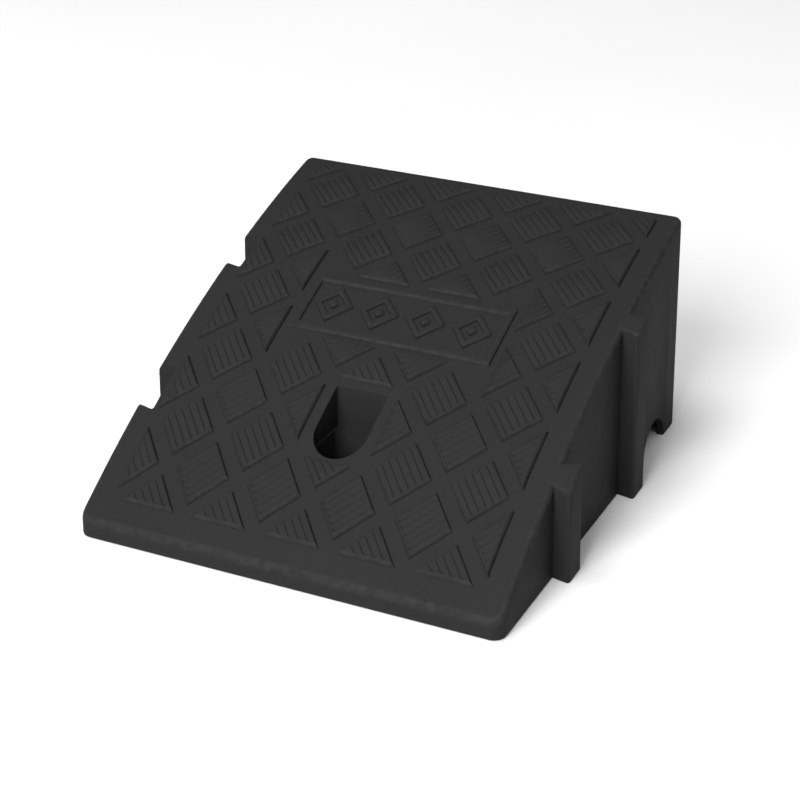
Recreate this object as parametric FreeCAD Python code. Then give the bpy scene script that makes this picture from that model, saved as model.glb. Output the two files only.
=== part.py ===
import FreeCAD, Part
import math
import os

# Threshold ramp: one wedge that lays a wheel track from the ground up to a kerb.
# Millimetres. +Z is up, +Y runs uphill to the kerb, +X is across the wheel's path.
# The origin is on the ground, on the axis of the anchor bore.

# ---- Overall body ----
body_width = 250.0        # across, at the ground
body_length = 270.0       # from the toe to the kerb face
body_height = 133.0       # deck at the kerb face
toe_height = 11.0         # deck at the toe
deck_radius = 750.0       # the deck is a gentle crown, one arc from toe to kerb
side_draft = 0.02         # each side leans in by this much per unit of height
toe_corner_radius = 7.0   # upright corners at the toe, seen from above
kerb_corner_radius = 5.0  # and at the kerb face
deck_edge_radius = 3.0    # where the deck rolls over into the sides, toe and kerb face
base_edge_radius = 1.5    # around the foot of the walls
anchor_from_toe = 73.0    # from the toe to the anchor axis

# ---- Wall stock ----
side_wall = 4.5
rear_wall = 5.0
deck_skin = 5.0
toe_depth = 18.0          # length of the solid nose
rib_web = 3.0
rib_pitch = 42.0          # between neighbouring lengthwise ribs
front_rib_from_toe = 40.0
mid_ribs = 2              # cross ribs between the well's and the tunnel's

# ---- Anchor well ----
well_width = 31.0
well_rear = 25.5          # from the anchor axis back to the well's straight end
well_shallow = 2.4        # depth of the ledge below the rim's lowest point
well_wall = 3.5
well_lip = 1.0            # rounding of the rim
shaft_ledge = 1.0         # by which the shaft below is narrower than the well, all the way round
shaft_ledge_rear = 2.5    # and by which it is shorter at the uphill end
shaft_corner = 5.0        # its two uphill corners, seen from above
washer_seat = 12.0        # floor that the bolt's washer clamps
anchor_radius = 8.0       # clearance for the anchor bolt

# ---- Side keys (right) and keyways (left) ----
front_key_y = 3.0         # from the anchor axis, uphill
rear_key_from_kerb = 94.0
key_projection = 10.0
key_tip = 18.0
key_root = 13.5
key_round = 2.0
key_end_clearance = 1.0   # between a key's tip and the floor of the keyway it enters
key_side_clearance = 3.0  # between a key's tip and each lip of the keyway
keyway_flare = 1.7        # by which the keyway's root is wider than its mouth, each side
keyway_wall = 3.5

# ---- Drain and cable tunnel along the kerb ----
tunnel_radius = 18.0
tunnel_from_rear = 38.0

# ---- Raised tread ----
tread_rows = 12
border_column = 5         # lozenges are halved on this column, at each side
side_border = 15.5        # plain deck beside the halved lozenges, at the ground's width
toe_border = 12.7         # plain deck below the first row
kerb_border = 9.8         # and above the last
tread_channel = 7.8       # between neighbouring lozenges, square to their sides
tread_height = 1.8
tread_chamfer = 0.8
well_row = 3              # the tread row that the well takes the middle of
well_margin = 2.5         # plain deck around the well, at the least

# ---- Panel ----
panel_row = 6             # the tread row that the panel is centred on
panel_column = 3          # lozenges are halved on this column, beside the panel
panel_gap_x = 3.75        # from the halved lozenges to the panel's border
panel_gap_y = 2.5
panel_bar = 5.0
panel_chamfer = 1.2
motif_count = 4
motif_gap = 3.0           # from the border to the marks
motif_line = 3.0

# ---- Places worked out from the sizes above ----
toe_y = -anchor_from_toe
rear_y = toe_y + body_length
tunnel_y = rear_y - tunnel_from_rear
key_places = [front_key_y, rear_y - rear_key_from_kerb]
keyway_mouth = key_tip + 2 * key_side_clearance
keyway_root = keyway_mouth + 2 * keyway_flare
well_round = well_width / 2
shaft_round = well_round - shaft_ledge
shaft_rear = well_rear - shaft_ledge_rear
half_width = body_width / 2
reach = body_length + body_height     # longer than anything it has to cut
overrun = 20.0                        # by which a cutting shape passes the body's ends
pitch_x = (half_width - side_border) / border_column
pitch_y = (body_length - toe_border - kerb_border) / (tread_rows - 1)
lozenge_x = pitch_x - tread_channel / math.sqrt(2)    # centre of a lozenge to its side points
lozenge_y = pitch_y - tread_channel / math.sqrt(2)    # and to its uphill and downhill points
panel_x = panel_column * pitch_x - panel_gap_x
panel_y = pitch_y - panel_gap_y
motif_half = panel_y - panel_bar - motif_gap
motif_pitch = 2 * (panel_x - panel_bar) / motif_count
front_rib_y = toe_y + front_rib_from_toe
well_rib_y = well_rear + well_wall + rib_web / 2
tunnel_rib_y = tunnel_y - tunnel_radius - rib_web
rib_lines = [i * rib_pitch for i in (-2, -1, 1, 2)]

chord = math.hypot(body_length, body_height - toe_height)
chord_angle = math.atan2(body_height - toe_height, body_length)
chord_drop = math.sqrt(deck_radius**2 - (chord / 2) ** 2)
deck_centre_y = (toe_y + rear_y) / 2 + chord_drop * math.sin(chord_angle)
deck_centre_z = (toe_height + body_height) / 2 - chord_drop * math.cos(chord_angle)


def deck_z(y, lift=0.0):
    """Height of the deck, or of the surface `lift` above it, at a distance along the ramp."""
    return deck_centre_z + math.sqrt((deck_radius + lift) ** 2 - (y - deck_centre_y) ** 2)


seat_height = deck_z(-well_round) - well_shallow      # ledge inside the well


def vector(x, y, z):
    return FreeCAD.Vector(x, y, z)


def box(x0, x1, y0, y1, z0, z1):
    return Part.makeBox(x1 - x0, y1 - y0, z1 - z0, vector(x0, y0, z0))


def plan_box(x0, x1, y0, y1):
    """A rectangle seen from above, as tall as anything it has to cut."""
    return box(x0, x1, y0, y1, -reach, reach)


def prism(points, z0, z1):
    """Upright prism over a polygon seen from above."""
    outline = Part.makePolygon([vector(x, y, z0) for x, y in points + points[:1]])
    return Part.Face(outline).extrude(vector(0, 0, z1 - z0))


def cylinder(x, y, radius, z0, z1):
    return Part.makeCylinder(radius, z1 - z0, vector(x, y, z0))


def below_deck(lift=0.0, width=reach):
    """Everything from under the ground up to a surface that follows the deck."""
    y0, y1 = toe_y - overrun, rear_y + overrun
    start, end = vector(-width / 2, y0, deck_z(y0, lift)), vector(-width / 2, y1, deck_z(y1, lift))
    middle_y = (y0 + y1) / 2
    middle = vector(-width / 2, middle_y, deck_z(middle_y, lift))
    low_end, low_start = vector(-width / 2, y1, -reach), vector(-width / 2, y0, -reach)
    edges = [
        Part.Arc(start, middle, end).toShape(),
        Part.LineSegment(end, low_end).toShape(),
        Part.LineSegment(low_end, low_start).toShape(),
        Part.LineSegment(low_start, start).toShape(),
    ]
    return Part.Face(Part.Wire(edges)).extrude(vector(width, 0, 0))


def between_sides(inset=0.0):
    """Everything between the two drafted side planes, moved in by `inset`."""
    low = half_width - inset + side_draft * reach
    high = half_width - inset - side_draft * reach
    corners = [(-low, -reach), (low, -reach), (high, reach), (-high, reach)]
    outline = Part.makePolygon([vector(x, toe_y - reach, z) for x, z in corners + corners[:1]])
    return Part.Face(outline).extrude(vector(0, body_length + 2 * reach, 0))


def edges_where(solid, test):
    return [edge for edge in solid.Edges if test(edge.BoundBox)]


def outer_body():
    """The wedge as a full block, with every outside edge rolled over."""
    block = box(-half_width, half_width, toe_y, rear_y, 0, reach)
    block = block.common(below_deck()).common(between_sides())
    for radius, end_y in ((toe_corner_radius, toe_y), (kerb_corner_radius, rear_y)):
        upright = edges_where(block, lambda b: b.ZLength > toe_height / 2 and (
            max(abs(b.YMin - end_y), abs(b.YMax - end_y)) < 0.1))
        block = block.makeFillet(radius, upright)
    top = edges_where(block, lambda b: b.ZMin > toe_height - deck_edge_radius)
    block = block.makeFillet(deck_edge_radius, top)
    return block.makeFillet(base_edge_radius, edges_where(block, lambda b: b.ZMax < 0.1))


def key_outline(y, reach_in):
    """A key seen from above, narrow at the wall and wide at its tip."""
    tip_x = half_width + key_projection
    root_x = half_width - reach_in
    slope = (key_tip - key_root) / 2 / key_projection
    root = key_root / 2 - slope * reach_in
    return [(root_x, y - root), (tip_x, y - key_tip / 2), (tip_x, y + key_tip / 2), (root_x, y + root)]


def side_key(y):
    """A dovetail key that stands on the right wall from the ground up to the deck."""
    key = prism(key_outline(y, side_wall), 0, reach)
    tips = edges_where(key, lambda b: b.ZLength > reach / 2 and b.XMin > half_width)
    key = key.makeFillet(key_round, tips)
    drafted_tip = between_sides(-key_projection)
    return key.common(below_deck()).common(drafted_tip).cut(outer)


def keyway_outline(y, grow=0.0):
    """A keyway seen from above, grown outwards by `grow` for the wall that lines it."""
    floor_x = -half_width + key_projection + key_end_clearance + grow
    mouth_x = -half_width - key_projection
    mouth = keyway_mouth / 2 - keyway_flare * key_projection / (key_projection + key_end_clearance)
    root = keyway_root / 2
    return [(mouth_x, y - mouth - grow), (floor_x, y - root - grow),
            (floor_x, y + root + grow), (mouth_x, y + mouth + grow)]


def keyway_void(y):
    return prism(keyway_outline(y), -overrun, reach)


def keyway_block(y):
    return prism(keyway_outline(y, keyway_wall), -overrun, reach)


def arched(radius, rear, z0, z1, corner=0.0):
    """Upright prism, seen from above straight at its uphill end and round at its downhill end."""
    straight = box(-radius, radius, 0, rear, z0, z1)
    if corner:
        uphill = edges_where(straight, lambda b: b.XLength < 0.1 and b.YMin > rear - 0.1)
        straight = straight.makeFillet(corner, uphill)
    return straight.fuse(cylinder(0, 0, radius, z0, z1)).removeSplitter()


def shaft(grow, z0, z1):
    """The shaft below the well's ledge, grown outwards by `grow` for its wall."""
    return arched(shaft_round + grow, shaft_rear + grow, z0, z1, shaft_corner + grow)


def tunnel():
    """Half-round passage through both sides and the lengthwise ribs, on the ground."""
    start = vector(-reach / 2, tunnel_y, 0)
    return Part.makeCylinder(tunnel_radius, reach, start, vector(1, 0, 0))


outer = outer_body()
inside = between_sides(side_wall)
under_skin = below_deck(-deck_skin)
passage = tunnel()
keyway_voids = [keyway_void(y) for y in key_places]
keyway_blocks = [keyway_block(y) for y in key_places]
well_void = arched(well_round, well_rear, seat_height, reach)
well_block = arched(well_round + well_wall, well_rear + well_wall, seat_height - well_wall, reach)
shaft_void = shaft(0, washer_seat, reach)
shaft_column = shaft(well_wall, -overrun, seat_height)


def cut_all(solid, tools):
    for tool in tools:
        solid = solid.cut(tool)
    return solid


def deck_plate():
    """The crowned top skin, from the solid nose to the kerb wall."""
    plate = outer.common(inside).cut(under_skin)
    plate = plate.common(box(-reach, reach, toe_y + toe_depth, rear_y - rear_wall, 0, reach))
    return cut_all(plate, keyway_blocks + [well_block, shaft_column])


def toe_bar():
    """The solid nose that a wheel meets first."""
    nose = box(-reach, reach, toe_y - overrun, toe_y + toe_depth, -overrun, reach)
    return outer.common(inside).common(nose)


def kerb_wall():
    """The flat upright wall that stands against the kerb."""
    tail = box(-reach, reach, rear_y - rear_wall, rear_y + overrun, -overrun, reach)
    return outer.common(inside).common(tail)


def right_wall():
    """The wall that carries the keys."""
    wall = outer.cut(inside).common(box(0, reach, -reach, reach, -overrun, reach))
    return wall.cut(passage)


def left_wall():
    """The left wall is in three lengths, with a keyway between each two."""
    wall = outer.cut(inside).common(box(-reach, 0, -reach, reach, -overrun, reach))
    return cut_all(wall, keyway_blocks + [passage])


def keyway_liner(index):
    """The three-sided channel that lines a keyway from the ground to the deck."""
    return outer.common(keyway_blocks[index]).cut(keyway_voids[index])


def anchor_well():
    """The recess in the deck that gives room for the bolt's head and a socket."""
    well = outer.common(well_block).cut(well_void).cut(shaft_void)

    def on_rim(bounds):
        inside_x = max(-bounds.XMin, bounds.XMax) < well_round + 0.1
        return inside_x and bounds.ZMin > seat_height + 1 and bounds.YMax < well_rear + 0.1 and (
            abs(bounds.ZMax - deck_z(bounds.YMax)) < 0.05)
    return well.Solids[0].makeFillet(well_lip, edges_where(well, on_rim))


def anchor_sleeve():
    """The shaft between the well's ledge and the washer seat."""
    return shaft(well_wall, washer_seat, seat_height - well_wall).cut(shaft_void)


def anchor_seat():
    """The thick floor that the anchor bolt clamps to the ground."""
    return shaft(well_wall, 0, washer_seat).cut(cylinder(0, 0, anchor_radius, -overrun, reach))


def rib_space():
    """The hollow under the deck, where the ribs stand."""
    space = box(-reach, reach, toe_y + toe_depth, rear_y - rear_wall, 0, reach)
    space = space.common(inside).common(under_skin)
    return cut_all(space, keyway_blocks + [well_block, shaft_column])


hollow = rib_space()


def lengthwise_rib(x, y0=-reach, y1=reach):
    """One rib from the nose to the kerb wall, or the part of it between two places."""
    web = box(x - rib_web / 2, x + rib_web / 2, y0, y1, -overrun, reach)
    return hollow.common(web).cut(passage)


def cross_rib(y):
    """One rib across the hollow, in lengths between the lengthwise ribs."""
    web = hollow.common(box(-reach, reach, y - rib_web / 2, y + rib_web / 2, -overrun, reach))
    lines = rib_lines + [0]
    return cut_all(web, [plan_box(x - rib_web / 2, x + rib_web / 2, -reach, reach) for x in lines])


def cross_rib_places():
    """One rib near the toe, one behind the well, one beside the tunnel and the rest between."""
    step = (tunnel_rib_y - well_rib_y) / (mid_ribs + 1)
    return [front_rib_y] + [well_rib_y + i * step for i in range(mid_ribs + 2)]


def row_y(j):
    return toe_y + toe_border + pitch_y * j


def lozenge(x, y, half_x, half_y):
    """An upright prism over a lozenge."""
    return prism([(x - half_x, y), (x, y - half_y), (x + half_x, y), (x, y + half_y)], 0, reach)


def inner_half(x, y):
    """The half of a lozenge that faces the middle of the ramp."""
    point_x = x - math.copysign(pitch_x, x)
    return prism([(x, y - pitch_y), (x, y + pitch_y), (point_x, y)], 0, reach)


def tread_zone():
    """Where lozenges may stand: inside the borders, clear of the panel and the well."""
    border = border_column * pitch_x
    zone = plan_box(-border, border, row_y(0), row_y(tread_rows - 1))
    clear = panel_column * pitch_x
    zone = zone.cut(plan_box(-clear, clear, row_y(panel_row - 1), row_y(panel_row + 1)))
    well_x = well_round + well_margin
    well_top = max(row_y(well_row + 1), well_rear + well_margin)
    middle_x = (lozenge_x + pitch_x) / 2      # past the middle lozenges, short of the next ones' points
    zone = zone.cut(plan_box(-middle_x, middle_x, -well_x, well_top))
    zone = zone.cut(plan_box(-well_x, well_x, 0, well_top))
    halved = [(side * clear, row_y(j)) for side in (-1, 1) for j in (panel_row - 1, panel_row + 1)]
    halved += [(side * pitch_x, row_y(well_row)) for side in (-1, 1)]
    return cut_all(zone, [inner_half(x, y) for x, y in halved])


raised_layer = below_deck(tread_height).cut(below_deck())
tread_area = tread_zone()


def break_top_edges(solid, chamfer):
    """Chamfers the edges that lie on the tread's top surface."""
    def on_top(bounds):
        lift = bounds.ZMax - deck_z(bounds.YMax, tread_height)
        return abs(lift) < 0.05 and max(bounds.XLength, bounds.YLength) > chamfer
    return solid.makeChamfer(chamfer, edges_where(solid, on_top))


def tread_row(j):
    """Row j of the lozenges, each a solid of its own."""
    blocks = []
    for i in range(-border_column, border_column + 1):
        if (i + j) % 2:
            continue
        raised = lozenge(i * pitch_x, row_y(j), lozenge_x, lozenge_y).common(tread_area)
        blocks += [break_top_edges(solid, tread_chamfer) for solid in raised.common(raised_layer).Solids]
    return Part.makeCompound(blocks)


def panel_frame():
    """The raised rectangular border of the panel."""
    y = row_y(panel_row)
    x_in, y_in = panel_x - panel_bar, panel_y - panel_bar
    ring = plan_box(-panel_x, panel_x, y - panel_y, y + panel_y)
    ring = ring.cut(plan_box(-x_in, x_in, y - y_in, y + y_in)).common(raised_layer)
    return break_top_edges(ring.Solids[0], panel_chamfer)


def panel_motif():
    """A row of plain lozenge rings, each with a small lozenge in it."""
    marks = []
    y = row_y(panel_row)
    hole = motif_half - motif_line * math.sqrt(2)
    for i in range(motif_count):
        x = (i - (motif_count - 1) / 2) * motif_pitch
        ring = lozenge(x, y, motif_half, motif_half).cut(lozenge(x, y, hole, hole))
        heart = lozenge(x, y, motif_line, motif_line)
        marks += [mark.common(raised_layer).Solids[0] for mark in (ring, heart)]
    return Part.makeCompound(marks)


nodes = {
    "toe_bar": toe_bar(),
    "deck_plate": deck_plate(),
    "kerb_wall": kerb_wall(),
    "left_wall": left_wall(),
    "right_wall": right_wall(),
    "anchor_well": anchor_well(),
    "anchor_sleeve": anchor_sleeve(),
    "anchor_seat": anchor_seat(),
    "front_centre_rib": lengthwise_rib(0, y1=0),
    "rear_centre_rib": lengthwise_rib(0, y0=0),
    "panel_frame": panel_frame(),
    "panel_motif": panel_motif(),
}
for place, index in (("front", 0), ("rear", 1)):
    nodes[place + "_key"] = side_key(key_places[index])
    nodes[place + "_keyway"] = keyway_liner(index)
for number, x in enumerate(rib_lines, 1):
    nodes["lengthwise_rib_%d" % number] = lengthwise_rib(x)
for number, y in enumerate(cross_rib_places(), 1):
    nodes["cross_rib_%d" % number] = cross_rib(y)
for j in range(tread_rows):
    nodes["tread_row_%02d" % (j + 1)] = tread_row(j)

os.makedirs("parts", exist_ok=True)
for name, shape in nodes.items():
    print(name, len(shape.Solids), round(shape.Volume, 1), shape.isValid())
    shape.exportStep("parts/" + name + ".step")
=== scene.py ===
# %% [markdown]
# # A threshold ramp in black plastic
#
# The ramp is one injection moulding: a crowned deck on thin walls, stiffened from below by ribs,
# with a raised tread, a well for one anchor bolt, and flared keys and keyways that line ramps up
# side by side. Here it is modelled in separate pieces that meet flush, so that each can be looked
# at on its own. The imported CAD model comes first, because every piece takes its place from it.

import math

import bmesh
import bpy
from mathutils import Matrix, Vector


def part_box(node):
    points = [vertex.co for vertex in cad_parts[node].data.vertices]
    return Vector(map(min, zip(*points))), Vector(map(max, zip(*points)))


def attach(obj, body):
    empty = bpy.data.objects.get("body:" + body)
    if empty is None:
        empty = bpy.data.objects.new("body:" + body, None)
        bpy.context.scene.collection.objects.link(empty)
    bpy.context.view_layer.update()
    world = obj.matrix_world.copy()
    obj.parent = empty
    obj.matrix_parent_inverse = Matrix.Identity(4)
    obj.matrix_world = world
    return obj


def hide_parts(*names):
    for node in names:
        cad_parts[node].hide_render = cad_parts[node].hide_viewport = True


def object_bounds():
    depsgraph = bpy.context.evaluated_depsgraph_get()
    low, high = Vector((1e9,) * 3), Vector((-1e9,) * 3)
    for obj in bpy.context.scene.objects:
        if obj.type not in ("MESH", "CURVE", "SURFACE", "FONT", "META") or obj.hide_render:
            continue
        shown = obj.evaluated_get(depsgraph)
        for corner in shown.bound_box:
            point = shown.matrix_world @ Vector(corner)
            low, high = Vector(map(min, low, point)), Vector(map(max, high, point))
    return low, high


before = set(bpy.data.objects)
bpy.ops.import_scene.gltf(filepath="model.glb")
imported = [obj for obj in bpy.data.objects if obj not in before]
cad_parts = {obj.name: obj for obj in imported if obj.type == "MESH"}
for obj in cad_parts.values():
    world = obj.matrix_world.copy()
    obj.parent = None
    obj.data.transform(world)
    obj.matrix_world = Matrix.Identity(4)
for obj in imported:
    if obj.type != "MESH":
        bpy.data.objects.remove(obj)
cad_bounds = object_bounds()
print("CAD box, metres:", [tuple(round(c, 4) for c in corner) for corner in cad_bounds])

# %% [markdown]
# ## The sizes that the pieces share
#
# The sizes of a small moulding are easiest to read in millimetres, so every mesh is modelled in
# millimetres and shrunk to metres once, at the end. The deck is a single arc from toe to kerb.
# Its centre follows from the arc's radius and its two ends, and `deck_z` then gives the height of
# the deck anywhere along the ramp, or of a surface a given distance above or below it.

# %% Sizes
MM = 0.001
half_width = 125.0
toe_y = cad_bounds[0][1] / MM
rear_y = cad_bounds[1][1] / MM
toe_height, body_height = 11.0, 133.0
deck_radius = 750.0
side_draft = 0.02              # each side leans in by this much per unit of height
toe_corner, kerb_corner, deck_edge_radius, base_edge_radius = 7.0, 5.0, 3.0, 1.5
side_wall, rear_wall, deck_skin, nose = 4.5, 5.0, 5.0, 18.0
NEAR = 0.01                    # corners closer than this are one corner

rise, run = body_height - toe_height, rear_y - toe_y
chord = math.hypot(run, rise)
drop = math.sqrt(deck_radius**2 - (chord / 2) ** 2)
centre_y = (toe_y + rear_y) / 2 + drop * rise / chord
centre_z = (toe_height + body_height) / 2 - drop * run / chord


def deck_z(y, lift=0.0):
    """Height of the deck, or of the surface `lift` above it."""
    return centre_z + math.sqrt((deck_radius + lift) ** 2 - (y - centre_y) ** 2)


print("deck at the toe, the anchor and the kerb:", [round(deck_z(y), 2) for y in (toe_y, 0, rear_y)])

# %% [markdown]
# ## Working tools
#
# A few helpers keep the modelling cells short. `trim` slices a solid with a plane and closes the
# cut, `score` only draws the plane's line on the surface, `roll` rounds edges, and `upright` raises
# a flat face into a prism. `carve` uses the Boolean modifier, for the few cuts that no plane makes.
# The crest of a rounded edge gets an attribute which the plastic reads to paint a patchy highlight
# there, paler than the plastic around it.

# %% Planes, prisms and rounded edges
SHARP = math.radians(38)       # faces that meet at a smaller angle are shaded as one surface


def everything(bm):
    return bm.verts[:] + bm.edges[:] + bm.faces[:]


def box(x0, x1, y0, y1, z0, z1):
    bm = bmesh.new()
    middle = Vector((x0 + x1, y0 + y1, z0 + z1)) / 2
    size = Vector((x1 - x0, y1 - y0, z1 - z0))
    bmesh.ops.create_cube(bm, size=1, matrix=Matrix.LocRotScale(middle, None, size))
    return bm


def trim(bm, point, normal):
    """Cuts away the side of a plane that its normal points to, and closes the cut."""
    bmesh.ops.bisect_plane(bm, geom=everything(bm), plane_co=point, plane_no=normal, clear_outer=True)
    bmesh.ops.holes_fill(bm, edges=[edge for edge in bm.edges if edge.is_boundary], sides=0)
    return bm


def score(bm, places):
    """Draws a line around the solid at each place along the ramp."""
    for place in places:
        bmesh.ops.bisect_plane(bm, geom=everything(bm), plane_co=(0, place, 0), plane_no=(0, 1, 0))
    return bm


def roll(bm, edges, radius, segments, clamp=True, highlight=1.0):
    """Rounds edges and marks the crest of the rounding with how much painted highlight it gets."""
    edge_highlight = bm.verts.layers.float.get("edge_highlight") or bm.verts.layers.float.new("edge_highlight")
    bm.normal_update()
    made = bmesh.ops.bevel(bm, geom=edges, offset=radius, offset_type="OFFSET", segments=segments,
                           profile=0.5, affect="EDGES", material=-1, clamp_overlap=clamp)
    for vert in made["verts"]:
        if all(face in made["faces"] for face in vert.link_faces):
            vert[edge_highlight] = highlight
    return bm


def upright(bm, z0, z1):
    """Raises a flat face into a prism between two heights."""
    for vert in bm.verts:
        vert.co.z = z0
    top = bmesh.ops.extrude_face_region(bm, geom=bm.faces[:], use_keep_orig=True)["geom"]
    for vert in top:
        if isinstance(vert, bmesh.types.BMVert):
            vert.co.z = z1
    bmesh.ops.recalc_face_normals(bm, faces=bm.faces[:])
    return bm


def outline(points):
    """One flat face from a few corners."""
    bm = bmesh.new()
    bmesh.ops.contextual_create(bm, geom=[bm.verts.new((x, y, 0)) for x, y in points])
    return bm


def is_sharp(edge):
    return len(edge.link_faces) == 2 and edge.calc_face_angle() > SHARP


def is_upright(edge):
    return edge.verts[0].co.xy == edge.verts[1].co.xy


def sharp_above(bm, height):
    return [edge for edge in bm.edges if is_sharp(edge) and min(vert.co.z for vert in edge.verts) > height]


def sharp_below(bm, height):
    return [edge for edge in bm.edges if is_sharp(edge) and max(vert.co.z for vert in edge.verts) < height]


# %% Boolean cuts
def as_object(bm, name):
    mesh = bpy.data.meshes.new(name)
    bm.to_mesh(mesh)
    bm.free()
    made = bpy.data.objects.new(name, mesh)
    bpy.context.collection.objects.link(made)
    return made


def carve(bm, cutter, operation="DIFFERENCE"):
    """Takes the cutter out of a solid, or keeps only what is inside both."""
    solid, tool = as_object(bm, "solid"), as_object(cutter.copy(), "tool")
    cut = solid.modifiers.new("cut", "BOOLEAN")
    cut.operation, cut.solver, cut.object = operation, "EXACT", tool
    made = solid.evaluated_get(bpy.context.evaluated_depsgraph_get()).to_mesh()
    result = bmesh.new()
    result.from_mesh(made)
    for thing in (solid, tool):
        mesh = thing.data
        bpy.data.objects.remove(thing)
        bpy.data.meshes.remove(mesh)
    bmesh.ops.remove_doubles(result, verts=result.verts[:], dist=0.001)
    return result


def add(target, part):
    """Puts a finished small solid into a larger piece's mesh."""
    mesh = bpy.data.meshes.new("part")
    part.to_mesh(mesh)
    part.free()
    target.from_mesh(mesh)
    bpy.data.meshes.remove(mesh)


# %% [markdown]
# ## The plastic
#
# Black polypropylene isn't black all over. Its colour drifts a little where the melt flowed and
# cooled, its skin copies the fine grain of the steel mould, and a thin film of dust settles on the
# deck. The crests of rounded edges also get a painted highlight, paler and patchy. An image could
# hold all this, but a procedural pattern has no edges and works at any scale. The small `Wire`
# class lets the shader maths be written as plain Python expressions: each operator adds its Math node.

# %% Shader maths
class Wire:
    """A shader socket. Its operators add Math nodes, and `node` adds any other."""

    def __init__(self, tree, socket=None):
        self.tree, self.socket = tree, socket

    def node(self, kind, settings, inputs, output=0):
        """Adds a node: its settings first, then the values or links of its sockets."""
        made = self.tree.nodes.new(kind)
        for name, value in settings.items():
            setattr(made, name, value)
        for name, value in inputs.items():
            if isinstance(value, Wire):
                self.tree.links.new(value.socket, made.inputs[name])
            else:
                made.inputs[name].default_value = value
        return Wire(self.tree, made.outputs[output] if made.outputs else None)

    def maths(self, operation, first, second):
        return self.node("ShaderNodeMath", {"operation": operation}, {0: first, 1: second})

    def __add__(self, other):
        return self.maths("ADD", self, other)

    def __mul__(self, other):
        return self.maths("MULTIPLY", self, other)

    def __sub__(self, other):
        return self.maths("SUBTRACT", self, other)

    def __rsub__(self, other):
        return self.maths("SUBTRACT", other, self)

    __radd__, __rmul__ = __add__, __mul__

    def noise(self, scale, detail=2.0, roughness=0.5, distortion=0.0):
        """A noise on the object's own coordinates; scale is in waves per metre."""
        place = self.node("ShaderNodeTexCoord", {}, {}, "Object")
        return self.node("ShaderNodeTexNoise", {}, {"Vector": place, "Scale": scale, "Detail": detail,
                                                    "Roughness": roughness, "Distortion": distortion})

    def between(self, low, high):
        """0 below low, 1 above high."""
        ends = {"Value": self, "From Min": low, "From Max": high}
        return self.node("ShaderNodeMapRange", {"clamp": True}, ends)

    def blend(self, first, second):
        """From one colour to another as this value goes from 0 to 1."""
        return self.node("ShaderNodeMix", {"data_type": "RGBA"}, {0: self, 6: first, 7: second}, 2)


def grey(tone, warm=0.0):
    """A nearly neutral colour; warm shifts it from blue towards red."""
    return (tone * (1 + warm), tone, tone * (1 - warm), 1)


# %% Moulded black plastic
def moulded_plastic(name, body, pale, grain_depth, dust_amount, roughness):
    material = bpy.data.materials.new(name)
    material.use_nodes = True
    tree = material.node_tree
    tree.nodes.clear()
    start = Wire(tree)
    flow = start.noise(14.0, detail=4.0, roughness=0.55, distortion=0.6).between(0.35, 0.68)
    mottle = start.noise(160.0, detail=5.0, roughness=0.6).between(0.3, 0.72)
    grain = start.noise(1500.0, detail=3.0, roughness=0.6)
    pits = start.noise(420.0, detail=2.0).between(0.70, 0.76)
    # Painted highlight: a paler, patchy tone along the crests of rounded edges, read from the attribute that
    # roll sets.
    edge_highlight = start.node("ShaderNodeAttribute", {"attribute_name": "edge_highlight"}, {}, "Fac")
    edge_highlight_patches = edge_highlight * start.noise(240.0, detail=4.0).between(0.34, 0.62)
    facing = start.node("ShaderNodeNewGeometry", {}, {}, "Normal")
    upward = start.node("ShaderNodeSeparateXYZ", {}, {"Vector": facing}, "Z").between(0.55, 0.95)
    dust = upward * start.noise(90.0, detail=6.0, roughness=0.7).between(0.42, 0.8) * dust_amount
    tone = (flow * 0.6 + mottle * 0.4).blend(grey(body), grey(pale))
    # The painted edge highlight goes into the colour here.
    tone = (edge_highlight_patches * 0.55).blend(tone, grey(pale * 1.6))
    tone = dust.blend(tone, grey(0.16, 0.03))
    tone = (pits * 0.6).blend(tone, grey(body * 0.35))
    gloss = roughness + mottle * 0.06 + grain * 0.05 + dust * 0.2 - edge_highlight_patches * 0.08
    height = grain * 0.7 + mottle * 0.5 - pits * 0.8
    bump = start.node("ShaderNodeBump", {}, {"Strength": 0.55, "Distance": grain_depth, "Height": height})
    shader = start.node("ShaderNodeBsdfPrincipled", {}, {
        "Base Color": tone, "Roughness": gloss, "Normal": bump, "IOR": 1.49, "Specular IOR Level": 0.07})
    start.node("ShaderNodeOutputMaterial", {}, {"Surface": shader})
    print(name, len(tree.nodes), "nodes")
    return material


skin_plastic = moulded_plastic("black_skin", 0.0172, 0.0187, 0.00010, 0.012, 0.58)
core_plastic = moulded_plastic("black_core", 0.0160, 0.0185, 0.00018, 0.010, 0.62)

# %% [markdown]
# ## Finishing a piece
#
# Every mesh ends the same way: doubled corners are merged, faces are turned outwards, the mesh is
# shrunk from millimetres to metres and shaded smooth except across real corners. The piece then
# rides on the ramp's one body, takes the black skin plastic and hides the CAD nodes that it
# stands for.

# %% Finish
def finish(name, bm, nodes):
    bmesh.ops.remove_doubles(bm, verts=bm.verts[:], dist=0.002)
    bmesh.ops.recalc_face_normals(bm, faces=bm.faces[:])
    bmesh.ops.scale(bm, vec=(MM, MM, MM), verts=bm.verts[:])
    open_edges = sum(len(edge.link_faces) != 2 for edge in bm.edges)
    piece = as_object(bm, name)
    for face in piece.data.polygons:
        face.use_smooth = True
    piece.data.set_sharp_from_angle(angle=SHARP)
    piece.data.materials.append(skin_plastic)
    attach(piece, "root")
    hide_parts(*nodes)
    print(name, len(piece.data.polygons), "faces,", open_edges, "open edges")


# %% [markdown]
# ## The outer block
#
# Every outside surface of the ramp comes from one block, so that the pieces cut from it meet
# without a step. It starts as a box. Its upright corners are rounded first, while they are still
# straight, then cross lines divide the top into strips that bend into the deck's arc, the sides
# lean in by the mould's draft, and last the rims around the deck and the foot are rolled over.
# Each strip stays flat, out to the corners, so that the rim's bevel has a true plane to follow.

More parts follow.
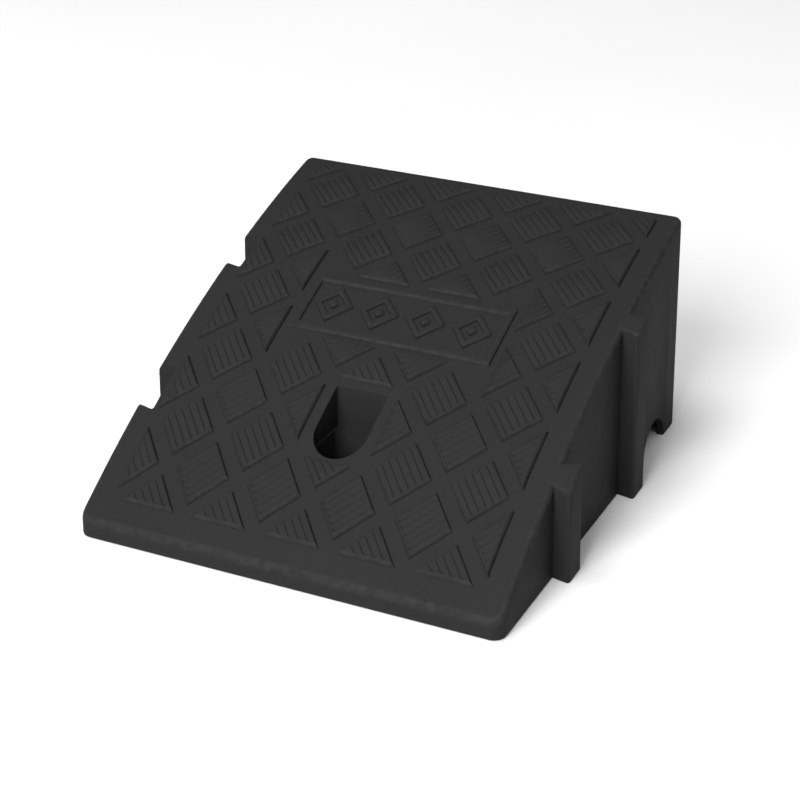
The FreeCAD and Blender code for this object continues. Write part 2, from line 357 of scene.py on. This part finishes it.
# %% Block
strip = 5.0                    # length of one flat strip of the deck
rim_reach = 1.1                # a rim's bevel rises higher than a true arc, so it starts further in
lines = [strip * k for k in range(-12, 39)]
lines = [toe_y, toe_y + toe_corner] + lines + [rear_y - kerb_corner, rear_y]


def strip_z(y):
    """Height of the deck between two lines, where it is a flat strip."""
    low, high = next((a, b) for a, b in zip(lines, lines[1:]) if y <= b + NEAR)
    part = (y - low) / (high - low)
    return deck_z(low) * (1 - part) + deck_z(high) * part


def lean(bm):
    """Leans both sides in by the draft, as far as each corner is high."""
    for vert in bm.verts:
        vert.co.x -= math.copysign(side_draft * max(vert.co.z, 0), vert.co.x)
    bm.normal_update()
    return bm


def outer_block():
    bm = box(-half_width, half_width, toe_y, rear_y, 0, body_height)
    for radius, y in ((toe_corner, toe_y), (kerb_corner, rear_y)):
        corners = [edge for edge in bm.edges if is_upright(edge) and abs(edge.verts[0].co.y - y) < NEAR]
        roll(bm, corners, radius, 8)
    score(bm, lines[1:-1])
    bmesh.ops.remove_doubles(bm, verts=bm.verts[:], dist=NEAR)
    for vert in bm.verts:
        if vert.co.z > 1:
            vert.co.z = strip_z(vert.co.y)
    lean(bm)
    roll(bm, sharp_above(bm, 1), rim_reach * deck_edge_radius, 6, clamp=False)
    return roll(bm, sharp_below(bm, 1), base_edge_radius, 3, clamp=False)


block = outer_block()
print("block:", len(block.faces), "faces")


def between_walls(bm):
    """Keeps what lies between the two side walls."""
    for side in (-1, 1):
        trim(bm, (side * (half_width - side_wall), 0, 0), (side, 0, side_draft))
    return bm


# %% [markdown]
# ## Cutters
#
# The keyways, the well and the cable tunnel cut through several pieces. Each cutter is a prism
# over an outline seen from above, made once and used wherever it applies. A keyway's outline is a
# dovetail, wider at its floor than at its mouth. The mouth is wider than a key's tip, so a key
# fits loosely and only lines the next ramp up. The well is straight at its uphill end and round at
# its downhill end.

# %% Keyway, well and tunnel
tall, deep, beyond = 200.0, -10.0, 10.0         # cutters reach past the block on every side
key_places = [(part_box(node)[0].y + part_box(node)[1].y) / 2 / MM for node in ("front_key", "rear_key")]
keyway_mouth, keyway_floor, keyway_depth, keyway_wall = 12.0, 13.7, 11.0, 3.5      # half widths
keyway_corner = 1.5
well_round, well_rear, well_corner, well_wall = 15.5, 25.5, 1.5, 3.5
shaft_round, shaft_rear, shaft_corner, seat_top = 14.5, 23.0, 5.0, 12.0
seat_height = deck_z(-well_round) - 2.4         # ledge inside the well
tunnel_y, tunnel_radius = rear_y - 38.0, 18.0


def keyway_prism(y, grow):
    flare = (keyway_floor - keyway_mouth) / keyway_depth
    outside, floor = -half_width - beyond, -half_width + keyway_depth + grow
    wide, narrow = keyway_floor + grow, keyway_mouth - beyond * flare + grow
    corners = [(outside, y - narrow), (floor, y - wide), (floor, y + wide), (outside, y + narrow)]
    bm = upright(outline(corners), deep, tall)
    bottom = [edge for edge in bm.edges if is_upright(edge) and edge.verts[0].co.x > -half_width]
    roll(bm, bottom, keyway_corner + grow, 4, highlight=0)
    for vert in bm.verts:
        vert.co.x += side_draft * max(vert.co.z, 0)
    return bm


def arched(radius, rear, corner, z0, z1):
    """A prism whose outline is straight at its uphill end and round at its downhill end."""
    bm = bmesh.new()
    bmesh.ops.create_circle(bm, cap_ends=True, radius=radius, segments=64)
    bmesh.ops.bisect_plane(bm, geom=everything(bm), plane_co=(0, 0, 0), plane_no=(0, 1, 0), clear_outer=True)
    bmesh.ops.remove_doubles(bm, verts=bm.verts[:], dist=NEAR)
    straight = [edge for edge in bm.edges if all(abs(vert.co.y) < NEAR for vert in edge.verts)]
    made = bmesh.ops.extrude_edge_only(bm, edges=straight)["geom"]
    far_end = [vert for vert in made if isinstance(vert, bmesh.types.BMVert)]
    bmesh.ops.translate(bm, vec=(0, rear, 0), verts=far_end)
    bmesh.ops.dissolve_faces(bm, faces=bm.faces[:])
    upright(bm, z0, z1)
    uphill = [edge for edge in bm.edges if is_upright(edge) and edge.verts[0].co.y > rear - NEAR]
    roll(bm, uphill, corner, 8, highlight=0)
    return score(bm, [strip * k for k in range(1, int(rear // strip) + 1)])


def well_prism(grow, z0, z1):
    return arched(well_round + grow, well_rear + grow, well_corner + grow, z0, z1)


def shaft_prism(grow, z0, z1):
    return arched(shaft_round + grow, shaft_rear + grow, shaft_corner + grow, z0, z1)


def tunnel():
    bm = bmesh.new()
    turned = Matrix.Translation((0, tunnel_y, 0)) @ Matrix.Rotation(math.pi / 2, 4, "Y")
    bmesh.ops.create_cone(bm, cap_ends=True, segments=72, radius1=tunnel_radius, radius2=tunnel_radius,
                          depth=3 * half_width, matrix=turned)
    return bm


keyway_blocks = [keyway_prism(y, keyway_wall) for y in key_places]
keyway_voids = [keyway_prism(y, 0) for y in key_places]
well_block = well_prism(well_wall, seat_height - well_wall - NEAR, tall)
well_void = well_prism(0, seat_height, tall)
shaft_block = shaft_prism(well_wall, deep, seat_height)
shaft_void = shaft_prism(0, deep, tall)
passage = tunnel()
print("keyways at", [round(y, 2) for y in key_places], "tunnel at", tunnel_y)

# %% [markdown]
# ## Nose and kerb wall
#
# The nose is the solid bar that a wheel meets first, and the kerb wall is the flat back that
# stands against the step. Both are plain slices of the outer block between the side walls.

# %% Slices
finish("nose", trim(between_walls(block.copy()), (0, toe_y + nose, 0), (0, 1, 0)), ["toe_bar"])
finish("kerb_face", trim(between_walls(block.copy()), (0, rear_y - rear_wall, 0), (0, -1, 0)), ["kerb_wall"])

# %% [markdown]
# ## Deck
#
# The deck is a skin of even thickness. Only the block's top surface is kept, and `solidify` gives
# it its thickness downwards, which follows the arc. Prisms for the keyways, the well and the shaft
# are then carved out, where those linings fit in.

# %% Deck skin
def deck():
    bm = between_walls(block.copy())
    trim(bm, (0, toe_y + nose, 0), (0, -1, 0))
    trim(bm, (0, rear_y - rear_wall, 0), (0, 1, 0))
    under = [face for face in bm.faces if face.normal.z < 0.5 or face.calc_center_median().z < 1]
    bmesh.ops.delete(bm, geom=under, context="FACES")
    bmesh.ops.solidify(bm, geom=bm.faces[:], thickness=deck_skin)
    for cutter in keyway_blocks + [well_block, shaft_block]:
        bm = carve(bm, cutter)
    return bm


finish("deck", deck(), ["deck_plate"])

# %% [markdown]
# ## Side walls
#
# The walls are the outer slices of the block. The keyways cut the left one into three lengths, and
# the cable tunnel opens both near the kerb. The edge of that arch is rounded like a moulded edge.

# %% Walls
arch_edge = 0.8


def arch_edges(bm):
    """The sharp outward edges of the tunnel's arch."""
    def on_arch(vert):
        outward = abs(vert.co.x) > half_width - side_wall + 1.5
        return outward and abs(math.hypot(vert.co.y - tunnel_y, vert.co.z) - tunnel_radius) < 0.05
    return [edge for edge in bm.edges if is_sharp(edge) and all(map(on_arch, edge.verts))]


def wall(side, cutters):
    bm = trim(block.copy(), (side * (half_width - side_wall), 0, 0), (-side, 0, -side_draft))
    for cutter in cutters:
        bm = carve(bm, cutter)
    return roll(bm, arch_edges(bm), arch_edge, 3)


finish("left_side", wall(-1, keyway_blocks + [passage]), ["left_wall"])
finish("right_side", wall(1, [passage]), ["right_wall"])

# %% [markdown]
# ## Keyways
#
# Each keyway is lined by a channel from the ground to the deck. It is what the outer block has
# inside the larger dovetail, less the smaller one. The lips at the mouth and along the deck are
# rounded in one run, so that a key slides in without catching.

# %% Keyway linings
lip_radius, lip_reach = 0.9, 0.2


def keyway_lining(y, around, void):
    bm = carve(carve(block.copy(), around, "INTERSECT"), void)

    def on_lip(edge):
        mid = (edge.verts[0].co + edge.verts[1].co) / 2
        floor = -half_width + keyway_depth + side_draft * mid.z
        inside = mid.x < floor + lip_reach and abs(mid.y - y) < keyway_floor + lip_reach
        return inside and mid.z > base_edge_radius + 0.5 and is_sharp(edge) and edge.is_convex
    return roll(bm, [edge for edge in bm.edges if on_lip(edge)], lip_radius, 3)


for place, y, around, void in zip(("front", "rear"), key_places, keyway_blocks, keyway_voids):
    finish(place + "_keyway_lining", keyway_lining(y, around, void), [place + "_keyway"])

# %% [markdown]
# ## Keys
#
# A key is a dovetail post, narrow where it leaves the wall and wide at its tip. Its outline starts
# just inside the wall, under the rolled edge of the deck, and its top follows the deck, so the
# deck runs out over it without a step. All its edges are softly rounded.

# %% Dovetail keys
key_projection, key_tip, key_root = 10.0, 18.0, 13.5
key_hidden = 0.6               # how far a key starts behind the deck's rolled edge
key_gap = 0.02                 # a key's top stays this far under the deck
key_corner, key_top_edge, key_foot_edge = 2.0, 1.5, 1.0


def key(y):
    inner = half_width - side_draft * deck_z(y) - deck_edge_radius - key_hidden
    tip = half_width + key_projection
    slope = (key_tip - key_root) / 2 / key_projection
    root = key_root / 2 - slope * (half_width - inner)
    corners = [(inner, y - root), (tip, y - key_tip / 2), (tip, y + key_tip / 2), (inner, y + root)]
    bm = upright(outline(corners), 0, tall)
    roll(bm, [e for e in bm.edges if is_upright(e) and e.verts[0].co.x > half_width], key_corner, 6)
    score(bm, [y - 4, y, y + 4])
    for vert in bm.verts:
        if vert.co.z > 1:
            vert.co.z = deck_z(vert.co.y) - key_gap
            if vert.co.x > half_width:
                vert.co.x -= side_draft * vert.co.z
    bm.normal_update()

    def is_seen(edge):
        return edge.verts[0].co.x + edge.verts[1].co.x > 2 * inner + 0.5
    roll(bm, [edge for edge in sharp_above(bm, 2) if is_seen(edge)], key_top_edge, 4)
    return roll(bm, [edge for edge in sharp_below(bm, 1) if is_seen(edge)], key_foot_edge, 3)


for place, y in zip(("front", "rear"), key_places):
    finish(place + "_dovetail", key(y), [place + "_key"])

# %% [markdown]
# ## Anchor well
#
# The well gives a socket wrench room to reach the bolt, which stands in the deep shaft below it.
# All three parts start as prisms over the same arched outline, and smaller prisms are carved out
# of them. What stays between the well's outline and the shaft's is a narrow ledge. The rim at the
# deck is rounded after the carving, because only then does its edge exist.

# %% Well, shaft and seat
anchor_radius, bore_edge, well_edge = 8.0, 0.8, 1.0


def well():
    bm = well_prism(well_wall, seat_height - well_wall, tall)
    for vert in bm.verts:
        if vert.co.z > seat_height:
            vert.co.z = deck_z(vert.co.y)
    bm.normal_update()
    bm = carve(bm, well_void)

    def on_rim(vert):
        on_deck = vert.co.z > deck_z(vert.co.y) - NEAR
        within = abs(vert.co.x) < well_round + 0.1 and vert.co.y < well_rear + 0.1
        return on_deck and within and (vert.co.y > 0 or vert.co.xy.length < well_round + 0.1)
    roll(bm, [e for e in bm.edges if is_sharp(e) and all(map(on_rim, e.verts))], well_edge, 4)
    return carve(bm, shaft_void)


def bolt_shaft():
    return carve(shaft_prism(well_wall, seat_top, seat_height - well_wall), shaft_void)


def bolt_seat():
    """The floor with the bolt's hole, whose two ends are eased."""
    bore = bmesh.new()
    bmesh.ops.create_cone(bore, cap_ends=True, segments=64, radius1=anchor_radius, radius2=anchor_radius,
                          depth=tall)
    bm = carve(shaft_prism(well_wall, 0, seat_top), bore)

    def on_bore(vert):
        return vert.co.xy.length < anchor_radius + 0.1
    ends = [e for e in bm.edges if is_sharp(e) and e.is_convex and all(map(on_bore, e.verts))]
    return roll(bm, ends, bore_edge, 3)


finish("well_lining", well(), ["anchor_well"])
finish("bolt_shaft", bolt_shaft(), ["anchor_sleeve"])
finish("bolt_seat", bolt_seat(), ["anchor_seat"])

# %% [markdown]
# ## Tread
#
# The tread is a lattice of raised lozenges whose tops carry fine ribs, which give a wet wheel or
# shoe its grip. Neighbouring rows turn their ribs the other way. One function makes a lozenge: an
# outline, trimmed where the border, the panel or the well takes a part of it, and raised a little.
# Three insets that also step up then give it the soft, sloping sides of a moulded pad. The top face
# is scored into strips and every other strip is sunk. Last, the lozenge is bent onto the deck by
# lifting each corner to the deck's height there.

# %% Places on the tread
tread_rows, border_column, well_row, panel_row, panel_column = 12, 5, 3, 6, 3
side_border, toe_border, kerb_border, channel = 15.5, 12.7, 9.8, 7.8
tread_height, tread_root, well_margin = 1.8, -0.3, 2.5     # heights above the deck
pitch_x = (half_width - side_border) / border_column
pitch_y = (rear_y - toe_y - toe_border - kerb_border) / (tread_rows - 1)
lozenge_x = pitch_x - channel / math.sqrt(2)
lozenge_y = pitch_y - channel / math.sqrt(2)
print("lozenge spacing, mm:", round(pitch_x, 2), "across and", round(pitch_y, 2), "along")


def row_y(j):
    return toe_y + toe_border + pitch_y * j


def missing_sides(i, j):
    """Planes beyond which lozenge i of row j isn't there: (x, y, direction x, direction y)."""
    x, y, out = i * pitch_x, row_y(j), math.copysign(1, i)
    gone = []
    if abs(i) == border_column:
        gone.append((x, y, out, 0))
    if j in (0, tread_rows - 1):
        gone.append((x, y, 0, math.copysign(1, j - 1)))
    if abs(j - panel_row) == 1 and abs(i) <= panel_column:
        gone.append((x, y, -out, 0) if abs(i) == panel_column else (x, y, 0, panel_row - j))
    if j == well_row and abs(i) == 1:
        gone.append((x, y, -out, 0))
    if i == 0 and abs(j - well_row) == 1:
        gone.append((x, y, 0, -1) if j > well_row else (x, -well_round - well_margin, 0, 1))
    return gone


def is_there(i, j):
    under_panel = j == panel_row and abs(i) < panel_column
    return (i + j) % 2 == 0 and not under_panel


# %% One lozenge
rib_pitch, rib_depth, rib_slope = 4.0, 0.55, 0.75
least_groove = 7.0                                         # area under which a strip stays up
pad_steps = [(0.45, 0.95), (0.35, 0.45), (0.35, 0.2)]      # each a step inwards and a step up


def bend_onto_deck(bm):
    """Lifts a flat solid onto the deck; its heights become distances above the deck."""
    for vert in bm.verts:
        vert.co.z = deck_z(vert.co.y, vert.co.z)
    return bm


def rib_field(bm, field, x, y, lean_x, lean_y):
    """Scores a face into strips along (lean_x, lean_y) and sinks every other one."""
    across = Vector((lean_y, -lean_x, 0)).normalized()
    faces = [field]
    for k in range(-6, 7):
        geom = faces + list({e for f in faces for e in f.edges}) + list({v for f in faces for v in f.verts})
        point = Vector((x, y, 0)) + across * (k + 0.5) * rib_pitch / 2
        before = set(bm.faces)
        bmesh.ops.bisect_plane(bm, geom=geom, plane_co=point, plane_no=across)
        faces = [f for f in faces if f.is_valid] + [f for f in bm.faces if f not in before]

    def is_groove(face):
        """Every second strip that has its full width and isn't a mere corner."""
        places = [(v.co - Vector((x, y, 0))).dot(across) / rib_pitch for v in face.verts]
        middle = (min(places) + max(places)) / 2
        full_width = max(places) - min(places) > 0.48
        return full_width and abs(middle - round(middle)) < 0.1 and face.calc_area() > least_groove

    sunk = [face for face in faces if is_groove(face)]
    bmesh.ops.inset_individual(bm, faces=sunk, thickness=rib_slope, depth=-rib_depth, use_even_offset=True)
    return bm


def diamond(x, y, half_x, half_y):
    """A flat lozenge with its corners on the two axes through its middle."""
    bm = bmesh.new()
    bmesh.ops.create_circle(bm, cap_ends=True, radius=1, segments=4)
    bmesh.ops.scale(bm, vec=(half_x, half_y, 1), verts=bm.verts[:])
    bmesh.ops.translate(bm, vec=(x, y, 0), verts=bm.verts[:])
    return bm


def lozenge(i, j):
    x, y = i * pitch_x, row_y(j)
    bm = diamond(x, y, lozenge_x, lozenge_y)
    for px, py, nx, ny in missing_sides(i, j):
        bmesh.ops.bisect_plane(bm, geom=everything(bm), plane_co=(px, py, 0), plane_no=(nx, ny, 0),
                               clear_outer=True)
    bmesh.ops.remove_doubles(bm, verts=bm.verts[:], dist=NEAR)
    upright(bm, tread_root, tread_height - sum(up for inwards, up in pad_steps))
    top = max(bm.faces, key=lambda face: (round(face.calc_center_median().z, 3), face.calc_area()))
    edge_highlight = bm.verts.layers.float.new("edge_highlight")
    # Painted highlight: the sloping sides of the pad get the paler edge tone, and its top face does not.
    for step, (inwards, up) in enumerate(pad_steps, 1):
        bmesh.ops.inset_region(bm, faces=[top], thickness=inwards, use_even_offset=True)
        bmesh.ops.translate(bm, vec=(0, 0, up), verts=top.verts[:])
        for vert in top.verts:
            vert[edge_highlight] = 0.0 if step == len(pad_steps) else 1.0
    backward = j % 2 == 0 or i == -border_column or j == tread_rows - 1
    rib_field(bm, top, x, y, -lozenge_x if backward else lozenge_x, lozenge_y)
    return bend_onto_deck(bm)


# %% Tread rows
for j in range(tread_rows):
    row = bmesh.new()
    for i in range(-border_column, border_column + 1):
        if is_there(i, j):
            add(row, lozenge(i, j))
    finish("tread_%02d" % (j + 1), row, ["tread_row_%02d" % (j + 1)])

# %% [markdown]
# ## Panel
#
# A raised border frames a plain panel, with a row of simple lozenge rings in it, each with a small
# lozenge at its heart. Border and rings are flat rings raised from the deck: an outline inset once,
# its middle removed, then raised, rounded and bent onto the deck like the tread.

# %% Panel border and rings
panel_lo, panel_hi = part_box("panel_frame")
panel_x = panel_hi.x / MM
panel_y = (panel_hi.y - panel_lo.y) / 2 / MM
panel_bar, motif_count, motif_gap, motif_line = 5.0, 4, 3.0, 3.0
border_edge, motif_edge, border_strip = 1.6, 0.8, 6.0


def raised(bm, radius):
    """A flat outline raised from the deck, with its top edges rounded."""
    upright(bm, tread_root, tread_height)
    roll(bm, sharp_above(bm, 1), radius, 3)
    return bend_onto_deck(bm)


def ring(bm, bar, radius, lines=()):
    """A flat outline made a raised ring with a bar of the given width."""
    middle = bm.faces[:]
    bmesh.ops.inset_region(bm, faces=middle, thickness=bar, use_boundary=True, use_even_offset=True)
    bmesh.ops.delete(bm, geom=middle, context="FACES")
    score(bm, lines)
    return raised(bm, radius)


mid_y = row_y(panel_row)
border = outline([(-panel_x, mid_y - panel_y), (panel_x, mid_y - panel_y),
                  (panel_x, mid_y + panel_y), (-panel_x, mid_y + panel_y)])
border_lines = [mid_y + border_strip * k for k in (-2, -1, 0, 1, 2)]
finish("panel_border", ring(border, panel_bar, border_edge, border_lines), ["panel_frame"])

marks = bmesh.new()
motif_half = panel_y - panel_bar - motif_gap
for k in range(motif_count):
    x = (k - (motif_count - 1) / 2) * 2 * (panel_x - panel_bar) / motif_count
    add(marks, ring(diamond(x, mid_y, motif_half, motif_half), motif_line, motif_edge))
    add(marks, raised(diamond(x, mid_y, motif_line, motif_line), motif_edge))
finish("panel_rings", marks, ["panel_motif"])

# %% [markdown]
# ## Ribs
#
# The ribs under the deck are plain thin webs, and their CAD shape is already right. They keep it
# and only take the duller plastic of the mould's core side, which isn't polished.

# %% Ribs
ribs = [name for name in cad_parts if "_rib" in name]
for name in ribs:
    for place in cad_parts[name].material_slots:
        place.material = core_plastic
print(len(ribs), "ribs in core plastic")

# %% [markdown]
# ## Floor, light and camera
#
# The ramp stands on a pale studio floor. Black plastic is lit by what it reflects, so the lights
# are large and soft: a broad key straight in front, a weaker one to its right and one high on the
# left. The sky is brightest overhead. A long lens keeps the perspective calm.

# %% Floor
def floor_paint():
    material = bpy.data.materials.new("studio_floor")
    material.use_nodes = True
    tree = material.node_tree
    tree.nodes.clear()
    start = Wire(tree)
    cloud = start.noise(2.5, detail=3.0).between(0.3, 0.7)
    tone = cloud.blend(grey(0.86), grey(0.89))
    shader = start.node("ShaderNodeBsdfPrincipled", {}, {"Base Color": tone, "Roughness": 0.75})
    start.node("ShaderNodeOutputMaterial", {}, {"Surface": shader})
    return material


sheet = bmesh.new()
bmesh.ops.create_grid(sheet, x_segments=1, y_segments=1, size=9.0)
ground = as_object(sheet, "studio_ground")
ground.data.materials.append(floor_paint())

# %% Lights
target = Vector((0.0070, 0.0579, 0.0519))
light_distance, light_width = 6.0, 3.0


def direction(azimuth, elevation):
    """Unit vector from the ramp; azimuth 0 is in front of the toe, growing to the right."""
    a, e = math.radians(azimuth), math.radians(elevation)
    return Vector((math.sin(a) * math.cos(e), -math.cos(a) * math.cos(e), math.sin(e)))


def aim(name, data, azimuth, elevation, distance):
    """Puts a light or a camera at a distance from the ramp, facing it."""
    made = bpy.data.objects.new(name, data)
    bpy.context.collection.objects.link(made)
    made.location = target + distance * direction(azimuth, elevation)
    made.rotation_euler = (target - made.location).to_track_quat("-Z", "Y").to_euler()
    return made


for name, azimuth, elevation, power in (("key_light", -3, 32, 410), ("side_light", 25, 50, 80),
                                        ("top_light", -60, 70, 150)):
    light = bpy.data.lights.new(name, "AREA")
    light.shape, light.size, light.energy = "DISK", light_width, power
    aim(name, light, azimuth, elevation, light_distance)
    print(name, power, "W at", azimuth, "and", elevation, "degrees")


def sky():
    """A plain white sky, brightest overhead."""
    world = bpy.data.worlds.new("studio")
    world.use_nodes = True
    world.node_tree.nodes.clear()
    start = Wire(world.node_tree)
    place = start.node("ShaderNodeTexCoord", {}, {}, "Generated")
    height = start.node("ShaderNodeSeparateXYZ", {}, {"Vector": place}, "Z").between(0, 1)
    strength = height * height * 0.4 + 0.05
    glow = start.node("ShaderNodeBackground", {}, {"Color": (1, 1, 1, 1), "Strength": strength})
    start.node("ShaderNodeOutputWorld", {}, {"Surface": glow})
    return world


bpy.context.scene.world = sky()
bpy.context.scene.view_settings.view_transform = "Standard"

# %% Camera
camera = aim("camera", bpy.data.cameras.new("camera"), 25.44, 26.42, 1.1253)
camera.data.lens, camera.data.sensor_width = 90.2, 36
bpy.context.scene.camera = camera
print("camera at", [round(c, 3) for c in camera.location])
